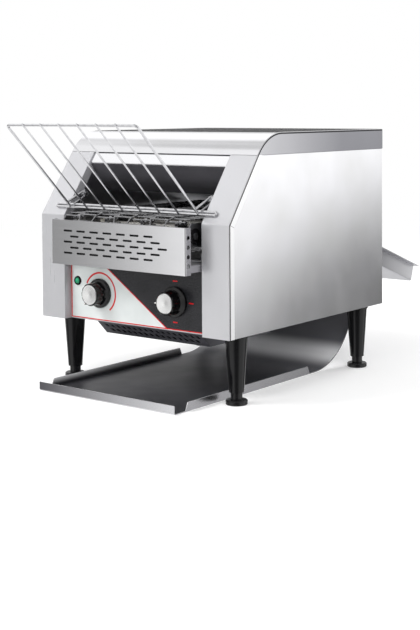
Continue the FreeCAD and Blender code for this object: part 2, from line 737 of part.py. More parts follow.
def fan_housing():
    """Square fan frame with its hub plate, struts and pin."""
    side = 40.0
    frame = block((FAN_X - side, FAN_X + side), FAN_Y, (FAN_Z - side, FAN_Z + side))
    frame = frame.cut(y_rod(FAN_X, (FAN_Y[0] - 1, FAN_Y[1] + 1), FAN_Z, 38))
    hub = y_rod(FAN_X, (FAN_Y[1] - 4, FAN_Y[1]), FAN_Z, 15)
    solids = [frame, hub, y_rod(FAN_X, (FAN_Y[0] + 3, FAN_Y[1]), FAN_Z, 2)]
    for i in range(4):
        strut = block((12, 39), (FAN_Y[1] - 3, FAN_Y[1]), (-2, 2))
        strut.rotate(Vec(0, 0, 0), Vec(0, 1, 0), 45 + 90 * i)
        strut.translate(Vec(FAN_X, 0, FAN_Z))
        solids.append(strut)
    return fuse_all(solids)


def fan_rotor():
    """Fan rotor with seven pitched blades."""
    y = (FAN_Y[0] + 2, FAN_Y[1] - 5)
    solids = [y_rod(FAN_X, y, FAN_Z, 14.5)]
    middle = (y[0] + y[1]) / 2
    for i in range(7):
        blade = block((13, 36.5), (-7, 7), (-0.7, 0.7))
        blade.rotate(Vec(0, 0, 0), Vec(1, 0, 0), 38)
        blade.rotate(Vec(0, 0, 0), Vec(0, 1, 0), 360 * i / 7)
        blade.translate(Vec(FAN_X, middle, FAN_Z))
        solids.append(blade)
    return fuse_all(solids).cut(y_rod(FAN_X, (FAN_Y[0] - 1, FAN_Y[1] + 1), FAN_Z, 2 + RUNNING_GAP))


def cord_gland():
    """Gland in the back panel, with the bore that the supply cord passes through."""
    face = BODY_DEPTH - SHEET
    body = y_rod(GLAND_X, (face - 12, face + 9), GLAND_Z, GLAND_R)
    hexagon = [(GLAND_X + 11 * math.cos(math.radians(60 * i)), GLAND_Z + 11 * math.sin(math.radians(60 * i)))
               for i in range(6)]
    collar = prism("y", hexagon, face, face + 4)
    nut = prism("y", hexagon, face - 6, face - SHEET)
    return fuse_all([body, collar, nut]).cut(y_rod(GLAND_X, (face - 13, face + 10), GLAND_Z, CORD_BORE_R))


# Toast slide, chute, legs, rack

def toast_slide():
    """Slide under the body: front lip, flat bed, side flanges and a curved back."""
    reach = SLIDE_RADIUS * math.tan(SLIDE_SWEEP / 2)
    corner = (SLIDE_FLAT_END + reach, SLIDE_LIFT)
    end = (corner[0] + reach * math.cos(SLIDE_SWEEP), corner[1] + reach * math.sin(SLIDE_SWEEP))
    lip = (SLIDE_FRONT_Y, SLIDE_LIFT + SLIDE_LIP)
    points = [lip, (SLIDE_FRONT_Y, SLIDE_LIFT), corner, end]
    bed = folded_sheet("x", points, BASE_SHEET, -SLIDE_HALF, SLIDE_HALF, {2: SLIDE_RADIUS})
    top = SLIDE_LIFT + SLIDE_LIP
    outline = [(-34, SLIDE_LIFT), (-28, top), (270, top), (276, SLIDE_LIFT)]
    flange = prism("x", outline, SLIDE_HALF - BASE_SHEET, SLIDE_HALF)
    return fuse_all([bed, flange, mirrored(flange)])


def slope_frame(shape):
    """Move a shape made along +Y at the origin on to the chute's slope."""
    shape.rotate(Vec(0, 0, 0), Vec(1, 0, 0), -CHUTE_SLOPE)
    shape.translate(Vec(0, CHUTE_BACK[0], CHUTE_BACK[1]))
    return shape


def rear_chute():
    """Chute out of the back: floor, two walls and out-turned lips outside the body."""
    along = (-CHUTE_INSIDE, CHUTE_OUTSIDE)
    points = [(-CHUTE_HALF, CHUTE_WALL), (-CHUTE_HALF, 0), (CHUTE_HALF, 0), (CHUTE_HALF, CHUTE_WALL)]
    trough = folded_sheet("y", points, BASE_SHEET, along[0], along[1])
    lip_z = (CHUTE_WALL - BASE_SHEET, CHUTE_WALL)
    lip = block((CHUTE_HALF - BASE_SHEET, CHUTE_HALF + CHUTE_LIP), (12, CHUTE_OUTSIDE), lip_z)
    return slope_frame(fuse_all([trough, lip, mirrored(lip)]))


def chute_rails():
    """Two angle rails inside the back opening, under the chute."""
    along = (2 - CHUTE_INSIDE, -10)
    ledge = block((118, INNER_WALL_X), along, (-2.3, -0.3))
    upright = block((INNER_WALL_X - 1.5, INNER_WALL_X), along, (-2.3, 14))
    rail = slope_frame(fuse_all([ledge, upright]))
    return [rail, mirrored(rail)]


def leg(x, y):
    """Tapered leg with a top flange and a socket for the levelling foot."""
    cone = Part.makeCone(11, 16.5, 78.5, Vec(x, y, 17.5), Vec(0, 0, 1))
    flange = Part.makeCylinder(18, 4, Vec(x, y, 96), Vec(0, 0, 1))
    socket = Part.makeCylinder(NECK_R + RUNNING_GAP, 42.5, Vec(x, y, 17.5), Vec(0, 0, 1))
    return cone.fuse(flange).cut(socket)


def foot(x, y):
    """Levelling foot: round pad with soft edges and a neck that screws into the leg."""
    profile = [(0, 0), (15, 0), (16, 1), (16, 5.6), (14.6, 7), (NECK_R, 7), (NECK_R, 52), (0, 52)]
    wire = path([Vec(x + radius, y, z) for radius, z in profile], closed=True)
    return Part.Face(wire).revolve(Vec(x, y, 0), Vec(0, 0, 1), 360)


def rest_bar_centre(z):
    """Centre of a rest bar just clear of the leaning face, at the height where it rests."""
    gap = 2.0 + 0.3
    y = (z - CHEEK_TOP) / math.tan(LEAN)
    return y - gap * math.sin(LEAN), z + gap * math.cos(LEAN)


def loading_rack():
    """Wire rack: frame wire, inner wires, double rest bar with closed ends, two double arms and eyes."""
    upper = rest_bar_centre(274.9)
    lower = rest_bar_centre(270.9)
    half_gap = math.hypot(upper[0] - lower[0], upper[1] - lower[1]) / 2
    lean = Vec(0, math.cos(LEAN), math.sin(LEAN))
    middle = Vec(0, (upper[0] + lower[0]) / 2, (upper[1] + lower[1]) / 2)
    end_x = 156.0
    loop = []
    for side in (1, -1):
        for offset in (half_gap, -half_gap):
            loop.append(middle + lean * offset * side + Vec(end_x * side, 0, 0))
    corners = {i: half_gap * 0.98 for i in range(4)}
    wires = [closed_wire([loop[0], loop[1], loop[2], loop[3]], 2.0, corners)]
    top = Vec(0, RACK_TOP[0], RACK_TOP[1])
    foot_point = Vec(0, lower[0], lower[1])
    down = (foot_point - top).normalize()
    side = Vec(RACK_HALF, 0, 0)
    wires.append(on_wire([foot_point - side, top - side, top + side, foot_point + side], 2.0,
                         {1: RACK_BEND, 2: RACK_BEND}))
    spacing = 2 * RACK_HALF / 7
    lift = Vec(0, -down.z, down.y) * -1.2
    for i in range(1, 7):
        x = Vec(-RACK_HALF + spacing * i, 0, 0)
        wires.append(rod(top - down * 4 + lift + x, foot_point + lift + x, 1.5))
    pivot = Vec(0, RACK_PIVOT[0], RACK_PIVOT[1])
    for sign in (1, -1):
        x = Vec(RACK_HALF * sign, 0, 0)
        corner = Vec(0, RACK_CORNER[0], RACK_CORNER[1])
        wires.append(rod(corner + x, pivot + Vec(0, 0, 4.6) + x, 1.8))
        wires.append(rod(foot_point + Vec(0, 1, 2) + x, pivot - Vec(0, 0, 4.6) + x, 1.8))
        wires.append(x_rod((RACK_HALF * sign - 3.5, RACK_HALF * sign + 3.5), pivot.y, pivot.z, 5))
    rack = fuse_all(wires)
    return rack.cut(x_rod((-140, 140), pivot.y, pivot.z, RACK_PIN_R + RUNNING_GAP))


def closed_wire(points, radius, radii):
    """Round wire in a closed loop."""
    spine = path(points, radii, closed=True)
    edge = max(spine.Edges, key=lambda e: e.Length)
    start = edge.valueAt(edge.FirstParameter)
    circle = Part.Wire(Part.makeCircle(radius, start, edge.tangentAt(edge.FirstParameter)))
    return spine.makePipeShell([circle], True, False, 1)


def rack_pins():
    """Two shouldered pins on the cheeks' inner returns that the rack's eyes turn on."""
    pin = x_rod((121, CHEEK_INNER_X), RACK_PIVOT[0], RACK_PIVOT[1], RACK_PIN_R)
    shoulder = x_rod((130.2, CHEEK_INNER_X), RACK_PIVOT[0], RACK_PIVOT[1], 4.5)
    shape = pin.fuse(shoulder)
    return [shape, mirrored(shape)]


def case_screws():
    """Pan-head screws of the back panel."""
    solids = []
    face = BODY_DEPTH - SHEET
    places = [(x, z) for x in (-172, 172) for z in (112, 230, 340)] + [(0, 112), (0, 340)]
    for x, z in places:
        head = y_rod(x, (face, face + 2.2), z, 3.6)
        outer = [e for e in head.Edges if abs(e.BoundBox.YMin - face - 2.2) < 1e-3]
        solids.append(head.makeFillet(1.0, outer))
    return solids


def build():
    """Make every node."""
    motor_hole = (MOTOR_Y, MOTOR_Z, 7.3)
    shaft_hole = (DRIVE_Y, SHAFT_Z, 12)
    right_cheek = cheek()
    keep("front_cheek_right", right_cheek)
    keep("front_cheek_left", mirrored(right_cheek))
    keep("side_panel_right", side_panel())
    keep("side_panel_left", mirrored(side_panel()))
    keep("top_cover", top_cover())
    keep("header_strip", header_strip())
    keep("deflector_plate", deflector_plate())
    keep("inner_wall_right", inner_wall([motor_hole, shaft_hole]))
    keep("inner_wall_left", mirrored(inner_wall([])))
    keep("base_plate", base_plate())
    keep("rear_panel", rear_panel())
    keep("vent_cover", vent_cover())
    keep("control_panel", control_panel())
    keep("panel_overlay", panel_overlay())
    keep("lamp_bezel", lamp_bezel())
    keep("lamp_lens", lamp_lens())
    keep("speed_control", speed_control())
    keep("selector_switch", selector_switch())
    keep("speed_spindle", spindle(SPEED_X))
    keep("selector_spindle", spindle(SELECTOR_X))
    keep("speed_knob", knob(SPEED_X, 235))
    keep("selector_knob", knob(SELECTOR_X, 180))
    keep("speed_knob_cap", knob_cap(SPEED_X))
    keep("selector_knob_cap", knob_cap(SELECTOR_X))
    keep("intake_grille", intake_grille())
    keep("conveyor_belt", *conveyor_belt())
    keep("conveyor_rail_right", conveyor_rail())
    keep("conveyor_rail_left", mirrored(conveyor_rail()))
    keep("shaft_bushes", *shaft_bushes())
    keep("drive_shaft", shaft(DRIVE_Y, CHAIN_X + 11))
    keep("idler_shaft", shaft(IDLER_Y, 127))
    keep("drive_sprockets", *belt_sprockets(DRIVE_Y))
    keep("idler_sprockets", *belt_sprockets(IDLER_Y))
    keep("chain_wheel", chain_wheel())
    keep("motor_pinion", motor_pinion())
    keep("drive_chain", *drive_chain())
    keep("gear_motor", gear_motor())
    keep("upper_heating_tubes", *heating_tubes(UPPER_TUBES, 134))
    keep("lower_heating_tubes", *heating_tubes(LOWER_TUBES, 120))
    keep("tube_holders", *tube_holders())
    keep("upper_reflector", upper_reflector())
    keep("cavity_floor", cavity_floor())
    keep("rear_guide", rear_guide())
    keep("fan_housing", fan_housing())
    keep("fan_rotor", fan_rotor())
    keep("cord_gland", cord_gland())
    keep("toast_slide", toast_slide())
    keep("rear_chute", rear_chute())
    keep("chute_rails", *chute_rails())
    for end, y in (("front", LEG_Y[0]), ("rear", LEG_Y[1])):
        for side, x in (("left", -LEG_X), ("right", LEG_X)):
            keep("leg_" + end + "_" + side, leg(x, y))
            keep("foot_" + end + "_" + side, foot(x, y))
    keep("loading_rack", loading_rack())
    keep("rack_pins", *rack_pins())
    keep("case_screws", *case_screws())


def chute_tip():
    """Furthest point of the chute towards the back."""
    slope = math.radians(CHUTE_SLOPE)
    return CHUTE_BACK[0] + CHUTE_OUTSIDE * math.cos(slope) + CHUTE_WALL * math.sin(slope)


build()
MIDDLE_Y = (RACK_TOP[0] - RACK_WIRE_REACH + chute_tip()) / 2
print("middle of the box from the front face:", round(MIDDLE_Y, 3))
for name, shape in SHAPES.items():
    shape.translate(Vec(0, -MIDDLE_Y, 0))
    shape.exportStep("parts/" + name + ".step")
print(len(SHAPES), "nodes")
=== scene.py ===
"""Conveyor toaster: finishes, printed panel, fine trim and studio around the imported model."""
import math

import bmesh
import bpy
from mathutils import Matrix, Vector


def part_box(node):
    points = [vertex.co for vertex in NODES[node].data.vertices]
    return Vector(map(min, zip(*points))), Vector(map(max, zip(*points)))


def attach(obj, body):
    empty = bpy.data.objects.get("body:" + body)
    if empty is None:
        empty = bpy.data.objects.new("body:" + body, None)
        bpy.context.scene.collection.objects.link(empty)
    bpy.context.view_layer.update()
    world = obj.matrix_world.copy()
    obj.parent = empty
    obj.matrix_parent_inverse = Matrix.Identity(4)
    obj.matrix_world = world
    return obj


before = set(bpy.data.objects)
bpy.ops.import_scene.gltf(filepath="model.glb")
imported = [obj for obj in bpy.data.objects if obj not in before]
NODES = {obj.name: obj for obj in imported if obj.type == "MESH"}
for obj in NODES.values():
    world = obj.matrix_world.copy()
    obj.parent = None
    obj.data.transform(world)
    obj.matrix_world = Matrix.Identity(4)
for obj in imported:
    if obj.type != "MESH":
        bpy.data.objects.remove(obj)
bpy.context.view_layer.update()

bl_info = {
    "name": "Conveyor toaster",
    "version": (1, 0, 0),
    "blender": (4, 5, 0),
    "location": "View3D > Sidebar > Toaster",
    "description": "Dresses the conveyor toaster's pieces and sets up its studio",
    "category": "Object",
}

MM = 0.001

# The span in which nearly all of a noise pattern's values lie
FAINT, STRONG = 0.3, 0.7

# The side's shape: the cheek's knee, its lean from level, the cover's bend and lower edge
KNEE = 260 * MM
LEAN = math.radians(54.4)
COVER_BEND = 72 * MM
COVER_LOW = 355 * MM


# Small helpers

def tone(hex_text):
    """An sRGB hex colour as linear RGBA."""
    levels = [int(hex_text[i:i + 2], 16) / 255 for i in (1, 3, 5)]
    return [v / 12.92 if v <= 0.04045 else ((v + 0.055) / 1.055) ** 2.4 for v in levels] + [1.0]


def add(tree, kind, inputs=None, **settings):
    """Adds one node: settings are its own properties, inputs are values or sockets to link."""
    node = tree.nodes.new(kind)
    for key, value in settings.items():
        setattr(node, key, value)
    for key, value in (inputs or {}).items():
        if isinstance(value, bpy.types.NodeSocket):
            tree.links.new(value, node.inputs[key])
        else:
            node.inputs[key].default_value = value
    return node


def blank(name):
    """An empty node material and its tree."""
    material = bpy.data.materials.new(name)
    material.use_nodes = True
    material.node_tree.nodes.clear()
    return material, material.node_tree


def close(tree, **inputs):
    """The surface shader and the output; underscores in the names stand for spaces."""
    sockets = {key.replace("_", " "): value for key, value in inputs.items()}
    shader = add(tree, "ShaderNodeBsdfPrincipled", sockets)
    add(tree, "ShaderNodeOutputMaterial", {"Surface": shader.outputs[0]})
    return shader


def pattern(tree, size_mm, detail=2.0):
    """Noise whose features are size_mm long along X, Y and Z; the part's own place is the coordinate."""
    place = add(tree, "ShaderNodeTexCoord").outputs["Object"]
    scale = [1 / (size * MM) for size in size_mm]
    scaled = add(tree, "ShaderNodeVectorMath", {0: place, 1: scale}, operation="MULTIPLY").outputs[0]
    return add(tree, "ShaderNodeTexNoise", {"Vector": scaled, "Scale": 1.0, "Detail": detail}).outputs["Fac"]


def mottled(tree, cloud, colours):
    """Two near shades that run into each other with a pattern."""
    share = add(tree, "ShaderNodeMapRange", {0: cloud, 1: FAINT, 2: STRONG}).outputs[0]
    shades = {0: share, 6: tone(colours[0]), 7: tone(colours[1])}
    return add(tree, "ShaderNodeMix", shades, data_type="RGBA").outputs[2]


def surface(tree, cloud, colours, gloss, grain, depth_mm, strength, **inputs):
    """A whole surface: shades and roughness that drift with one pattern, and a fine bump from another."""
    drift = {0: cloud, 1: FAINT, 2: STRONG, 3: gloss[0], 4: gloss[1]}
    rough = add(tree, "ShaderNodeMapRange", drift).outputs[0]
    bump = add(tree, "ShaderNodeBump", {"Height": grain, "Distance": depth_mm * MM, "Strength": strength})
    close(tree, Base_Color=mottled(tree, cloud, colours), Roughness=rough, Normal=bump.outputs[0], **inputs)


def crowned(tree, tilt, per_metre):
    """The normal of a front sheet that its folds leave slightly crowned: sideways tilt, changing along X."""
    place = add(tree, "ShaderNodeTexCoord").outputs["Object"]
    x = add(tree, "ShaderNodeSeparateXYZ", {0: place}).outputs["X"]
    lean = add(tree, "ShaderNodeMath", {0: x, 1: per_metre, 2: tilt}, operation="MULTIPLY_ADD").outputs[0]
    sideways = add(tree, "ShaderNodeCombineXYZ", {"X": lean}).outputs[0]
    normal = add(tree, "ShaderNodeNewGeometry").outputs["Normal"]
    tipped = add(tree, "ShaderNodeVectorMath", {0: normal, 1: sideways}, operation="ADD").outputs[0]
    return add(tree, "ShaderNodeVectorMath", {0: tipped}, operation="NORMALIZE").outputs[0]


def dress(material, *names):
    """Gives CAD nodes a finish."""
    for name in names:
        mesh = NODES[name].data
        mesh.materials.clear()
        mesh.materials.append(material)


def piece(name, mesh, body, material):
    """A new piece of the part, riding on a body."""
    obj = bpy.data.objects.new(name, mesh)
    bpy.context.scene.collection.objects.link(obj)
    mesh.materials.append(material)
    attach(obj, body)
    return obj


def plate(name, outlines, face, depth, body, material, side=False):
    """A flat shape from closed outlines, the later ones holes, grown by depth from its face.

    The outlines are X and Z at y = face; with side, they are Y and Z at x = face.
    """
    mesh = bpy.data.meshes.new(name)
    form = bmesh.new()
    edges = []
    for outline in outlines:
        ring = [form.verts.new((face, u, z) if side else (u, face, z)) for u, z in outline]
        edges += [form.edges.new(pair) for pair in zip(ring, ring[1:] + ring[:1])]
    faces = bmesh.ops.triangle_fill(form, use_beauty=True, use_dissolve=False, edges=edges)["geom"]
    faces = [f for f in faces if isinstance(f, bmesh.types.BMFace)]
    grown = bmesh.ops.extrude_face_region(form, geom=faces)["geom"]
    moved = [v for v in grown if isinstance(v, bmesh.types.BMVert)]
    bmesh.ops.translate(form, verts=moved, vec=(depth, 0, 0) if side else (0, depth, 0))
    bmesh.ops.recalc_face_normals(form, faces=form.faces)
    form.to_mesh(mesh)
    form.free()
    return piece(name, mesh, body, material)


def ring_points(centre, radius, start=0.0, end=360.0, steps=48):
    """Points on an arc in the XZ plane, in degrees anticlockwise seen from the front."""
    return [(centre[0] + radius * math.cos(math.radians(start + (end - start) * i / steps)),
             centre[1] + radius * math.sin(math.radians(start + (end - start) * i / steps)))
            for i in range(steps + (end - start < 360))]


def moved_in(path, distance):
    """An open path, each point moved to its right by a distance."""
    shifted = []
    for i, (u, v) in enumerate(path):
        before, after = path[max(i - 1, 0)], path[min(i + 1, len(path) - 1)]
        parts = [Vector(b) - Vector(a) for a, b in ((before, (u, v)), ((u, v), after)) if a != b]
        normals = [Vector((part.y, -part.x)).normalized() for part in parts]
        total = sum(normals, Vector((0, 0)))
        step = total * (distance * len(normals) / total.length_squared)
        shifted.append((u + step.x, v + step.y))
    return shifted


def band(path, start, end):
    """The closed outline between two distances inside a path."""
    return moved_in(path, start) + moved_in(path, end)[::-1]


# Metals

def sheet_stainless(name, colour, rough, grain, wear=0.05, metal=1.0, crown=None, painted_side_light_and_shade=None,
                    reach=(-0.16, 0.05), flange_metal=1.0, inner=None):
    """Cold-rolled stainless sheet, brushed then buffed: fine lines one way, slow shifts in gloss.

    crown is the sideways tilt of a crowned sheet and its change per metre. flange is the colours painted on the
    outward side faces at the two ends of reach, along Y: painted light and shade that make those faces lighter or
    darker than the sheet. inner is the colour of inward side faces, left unbuffed.
    """
    material, tree = blank(name)
    lines = pattern(tree, grain, detail=3.0)
    cloud = pattern(tree, (90, 90, 90))
    base = mottled(tree, cloud, colour)
    scratches = add(tree, "ShaderNodeMapRange", {0: lines, 1: FAINT, 2: STRONG, 3: -wear, 4: wear}).outputs[0]
    drift = {0: cloud, 1: FAINT, 2: STRONG, 3: rough - wear / 2, 4: rough + wear / 2}
    gloss = add(tree, "ShaderNodeMapRange", drift).outputs[0]
    worn = add(tree, "ShaderNodeMath", {0: scratches, 1: gloss}, operation="ADD").outputs[0]
    if painted_side_light_and_shade or inner:
        place = add(tree, "ShaderNodeSeparateXYZ", {0: add(tree, "ShaderNodeTexCoord").outputs["Object"]}).outputs
        normal = add(tree, "ShaderNodeNewGeometry").outputs["Normal"]
        across = add(tree, "ShaderNodeSeparateXYZ", {0: normal}).outputs["X"]
        half = add(tree, "ShaderNodeMath", {0: place["X"]}, operation="SIGN").outputs[0]
        facing = add(tree, "ShaderNodeMath", {0: half, 1: across}, operation="MULTIPLY").outputs[0]
    # Painted light and shade: the outward side faces get their own colours, blended along Y, and their own metalness.
    if painted_side_light_and_shade:
        outward = add(tree, "ShaderNodeMath", {0: facing, 1: 0.9}, operation="GREATER_THAN").outputs[0]
        along = add(tree, "ShaderNodeMapRange", {0: place["Y"], 1: reach[0], 2: reach[1]}).outputs[0]
        ends = {0: along, 6: tone(painted_side_light_and_shade[0]), 7: tone(painted_side_light_and_shade[1])}
        painted_side_tone = add(tree, "ShaderNodeMix", ends, data_type="RGBA").outputs[2]
        base = add(tree, "ShaderNodeMix", {0: outward, 6: base, 7: painted_side_tone}, data_type="RGBA").outputs[2]
        metal = add(tree, "ShaderNodeMapRange", {0: outward, 3: metal, 4: flange_metal}).outputs[0]
    if inner:
        inward = add(tree, "ShaderNodeMath", {0: facing, 1: -0.9}, operation="LESS_THAN").outputs[0]
        base = add(tree, "ShaderNodeMix", {0: inward, 6: base, 7: tone(inner)}, data_type="RGBA").outputs[2]
        worn = add(tree, "ShaderNodeMath", {0: inward, 1: 0.35, 2: worn}, operation="MULTIPLY_ADD").outputs[0]
    bump = {"Height": lines, "Distance": 0.004 * MM, "Strength": 0.4}
    if crown:
        bump["Normal"] = crowned(tree, *crown)
    close(tree, Base_Color=base, Metallic=metal, Roughness=worn,
          Normal=add(tree, "ShaderNodeBump", bump).outputs[0])
    return material


def slide_with_painted_reflection(name, painted_outside_shade, coat, worn):
    """Stainless sheet, satin outside; the inside is painted dark, lighter towards the curved back, with a bright band
    across the curve: painted reflection and a painted highlight.

    bare is the outside's colours at the left and right end, darker on the side faces: painted shade and light. coat is
    the inside's colours at the front and on the curved back, lighter towards the back: painted reflection. worn is the
    colour of the bright band across the curve: a painted highlight.
    """
    material, tree = blank(name)
    place = add(tree, "ShaderNodeSeparateXYZ", {0: add(tree, "ShaderNodeTexCoord").outputs["Object"]}).outputs
    normal = add(tree, "ShaderNodeSeparateXYZ", {0: add(tree, "ShaderNodeNewGeometry").outputs["Normal"]}).outputs
    low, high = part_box("toast_slide")
    skin = 0.6 * MM
    half = add(tree, "ShaderNodeMath", {0: place["X"]}, operation="ABSOLUTE").outputs[0]
    outside = add(tree, "ShaderNodeMath", {0: half, 1: high.x - skin}, operation="GREATER_THAN").outputs[0]
    front = add(tree, "ShaderNodeMath", {0: low.y + skin, 1: place["Y"]}, operation="GREATER_THAN")
    under = add(tree, "ShaderNodeMath", {0: -0.2, 1: normal["Z"]}, operation="GREATER_THAN")
    for face in (front, under):
        outside = add(tree, "ShaderNodeMath", {0: outside, 1: face.outputs[0]}, operation="MAXIMUM").outputs[0]
    # Painted reflection: the inside lightens from the front towards the curved back.
    painted_reflection_share = add(tree, "ShaderNodeMapRange", {0: place["Y"], 1: -0.04, 2: 0.15}).outputs[0]
    shades = {0: painted_reflection_share, 6: tone(coat[0]), 7: tone(coat[1])}
    dark = add(tree, "ShaderNodeMix", shades, data_type="RGBA").outputs[2]
    # Painted highlight: a bright band across the curve, from 3 to 39 mm up.
    rise, fall = {0: place["Z"], 1: 3 * MM, 2: 17 * MM}, {0: place["Z"], 1: 21 * MM, 2: 39 * MM, 3: 1, 4: 0}
    up, down = (add(tree, "ShaderNodeMapRange", ports, interpolation_type="SMOOTHSTEP").outputs[0]
                for ports in (rise, fall))
    painted_highlight_band = add(tree, "ShaderNodeMath", {0: up, 1: down}, operation="MULTIPLY").outputs[0]
    dark = add(tree, "ShaderNodeMix", {0: painted_highlight_band, 6: dark, 7: tone(worn)}, data_type="RGBA").outputs[2]
    # Painted shade and light: the outside darkens towards the left end and on its side faces.
    turned = add(tree, "ShaderNodeMath", {0: normal["X"]}, operation="ABSOLUTE").outputs[0]
    length = add(tree, "ShaderNodeMapRange", {0: place["X"], 1: low.x, 2: high.x}).outputs[0]
    along = add(tree, "ShaderNodeMath", {0: turned, 1: -0.5, 2: length}, operation="MULTIPLY_ADD").outputs[0]
    ends = {0: along, 6: tone(painted_outside_shade[0]), 7: tone(painted_outside_shade[1])}
    light = add(tree, "ShaderNodeMix", ends, data_type="RGBA").outputs[2]
    cloud = pattern(tree, (60, 60, 60))
    inside_gloss, outside_gloss = (add(tree, "ShaderNodeMapRange", {
        0: cloud, 1: FAINT, 2: STRONG, 3: smooth, 4: dull}).outputs[0] for smooth, dull in ((0.34, 0.42), (0.2, 0.26)))
    gloss = add(tree, "ShaderNodeMix", {0: outside, 2: inside_gloss, 3: outside_gloss}).outputs[0]
    lines = {"Height": pattern(tree, (1.6, 60, 8)), "Distance": 0.004 * MM, "Strength": 0.4}
    base = add(tree, "ShaderNodeMix", {0: outside, 6: dark, 7: light}, data_type="RGBA").outputs[2]
    close(tree, Base_Color=base, Metallic=outside, Roughness=gloss, Specular_IOR_Level=0.25,
          Normal=add(tree, "ShaderNodeBump", lines).outputs[0])
    return material


def blackened_steel(name, colour, rough, metal=0.7):
    """Steel sheet with a baked dark oxide and oil finish: dim, smooth, a little uneven."""
    material, tree = blank(name)
    cloud = pattern(tree, (38, 38, 38), detail=4.0)
    surface(tree, cloud, colour, (rough - 0.05, rough + 0.06), pattern(tree, (1.2, 1.2, 1.2)), 0.02, 0.3,
            Metallic=metal)
    return material


def turned_metal(name, colour, rough, centre, axis, ring_mm=0.9, polish=0.0):
    """Metal spun or turned on a lathe: fine rings round the centre catch the light as spokes."""
    material, tree = blank(name)
    place = add(tree, "ShaderNodeTexCoord").outputs["Object"]
    moved = add(tree, "ShaderNodeVectorMath", {0: place, 1: centre}, operation="SUBTRACT").outputs[0]
    flat = [0.0 if i == axis else 1.0 for i in range(3)]
    spoke = add(tree, "ShaderNodeVectorMath", {0: moved, 1: flat}, operation="MULTIPLY").outputs[0]
    reach = add(tree, "ShaderNodeVectorMath", {0: spoke}, operation="LENGTH").outputs["Value"]
    count = add(tree, "ShaderNodeMath", {0: reach, 1: 1 / (ring_mm * MM)}, operation="MULTIPLY").outputs[0]
    rings = add(tree, "ShaderNodeTexNoise", {"W": count, "Scale": 1.0, "Detail": 2.0},
                noise_dimensions="1D").outputs["Fac"]
    ports = {}
    if polish:
        ports["Tangent"] = add(tree, "ShaderNodeTangent", direction_type="RADIAL", axis="XYZ"[axis]).outputs[0]
    surface(tree, rings, colour, (rough, rough + 0.12), rings, 0.05, 0.6, Metallic=1.0, Anisotropic=polish,
            **ports)
    return material


def drawn_wire(name, colour, rough):
    """Drawn stainless wire, electropolished: bright, with faint die marks."""
    material, tree = blank(name)
    marks = pattern(tree, (6, 6, 6), detail=4.0)
    surface(tree, marks, colour, (rough, rough + 0.1), marks, 0.03, 0.25, Metallic=1.0)
    return material


# Plastics, glass and the rest

def moulded(name, colour, rough, grit_mm, depth_mm, coat=0.0, shine=0.5):
    """Injection-moulded plastic: even colour, the mould's own fine grain, soft gloss."""
    material, tree = blank(name)
    grain = pattern(tree, (grit_mm,) * 3, detail=3.0)
    surface(tree, pattern(tree, (25, 25, 25)), colour, (rough - 0.03, rough + 0.05), grain, depth_mm, 0.4,
            IOR=1.52, Specular_IOR_Level=shine, Coat_Weight=coat, Coat_Roughness=0.08)
    return material


def screen_ink(name, colour, rough=0.32):
    """Screen-printed ink under a satin film: flat colour with the film's orange peel."""
    material, tree = blank(name)
    peel = pattern(tree, (1.6, 1.6, 1.6))
    drift = {0: peel, 1: FAINT, 2: STRONG, 3: rough - 0.04, 4: rough + 0.06}
    bump = add(tree, "ShaderNodeBump", {"Height": peel, "Distance": 0.01 * MM, "Strength": 0.4})
    close(tree, Base_Color=mottled(tree, pattern(tree, (40, 40, 40)), colour), IOR=1.5, Specular_IOR_Level=0.3,
          Roughness=add(tree, "ShaderNodeMapRange", drift).outputs[0], Normal=bump.outputs[0])
    return material


def clear_moulding(name, colour, inner):
    """Tinted acrylic: clear, coloured right through, moulded ribs behind scatter the light."""
    material, tree = blank(name)
    ribs = pattern(tree, (1.4, 1.4, 1.4), detail=1.0)
    bump = add(tree, "ShaderNodeBump", {"Height": ribs, "Distance": 0.05 * MM, "Strength": 0.2})
    close(tree, Base_Color=mottled(tree, ribs, (colour, inner)), Roughness=0.12, IOR=1.49,
          Transmission_Weight=0.25, Coat_Weight=0.6, Subsurface_Weight=0.2,
          Subsurface_Radius=(0.2, 1.0, 0.6), Subsurface_Scale=0.002, Normal=bump.outputs[0])
    return material


def fused_quartz(name):
    """Drawn fused-silica tube, fired white inside by use: milky and glossy."""
    material, tree = blank(name)
    haze = pattern(tree, (14, 14, 14), detail=4.0)
    surface(tree, haze, ("#e8e6e2", "#c9c6c0"), (0.06, 0.2), haze, 0.05, 0.2, IOR=1.46, Transmission_Weight=0.45)
    return material


def fired_ceramic(name):
    """Pressed and fired steatite: chalky off-white with fine pits."""
    material, tree = blank(name)
    pits = pattern(tree, (0.9, 0.9, 0.9), detail=4.0)
    surface(tree, pits, ("#ddd8cc", "#efece4"), (0.5, 0.75), pits, 0.08, 0.6, IOR=1.6)
    return material


# Settings a user would change

class StudioSettings(bpy.types.PropertyGroup):
    """Camera, lamps and floor."""
    eye: bpy.props.FloatVectorProperty(
        name="Camera", description="Where the camera stands", default=(1.2313, -1.6021, 0.4207),
        subtype="XYZ", unit="LENGTH")
    turn: bpy.props.FloatProperty(
        name="Turn", description="Camera turned left from straight ahead", default=math.radians(37.69),
        subtype="ANGLE", unit="ROTATION")
    dip: bpy.props.FloatProperty(
        name="Dip", description="Camera tipped down", default=math.radians(1.57),
        subtype="ANGLE", unit="ROTATION")
    roll: bpy.props.FloatProperty(
        name="Roll", description="Camera rolled", default=math.radians(-0.33), subtype="ANGLE", unit="ROTATION")
    lens: bpy.props.FloatProperty(name="Lens", description="Focal length in millimetres", default=71.31)
    shift: bpy.props.FloatVectorProperty(
        name="Shift", description="Lens shift right and up, in frame widths", size=2, default=(-0.0251, -0.2725))
    sky: bpy.props.FloatProperty(
        name="Room light", description="Strength of the room's soft light", default=0.55, min=0)
    floor: bpy.props.StringProperty(name="Floor", description="Floor colour", default="#f0f0f0")
    floor_lift: bpy.props.FloatProperty(
        name="Floor lift", description="Light added to the floor near the object", default=0.24, min=0)


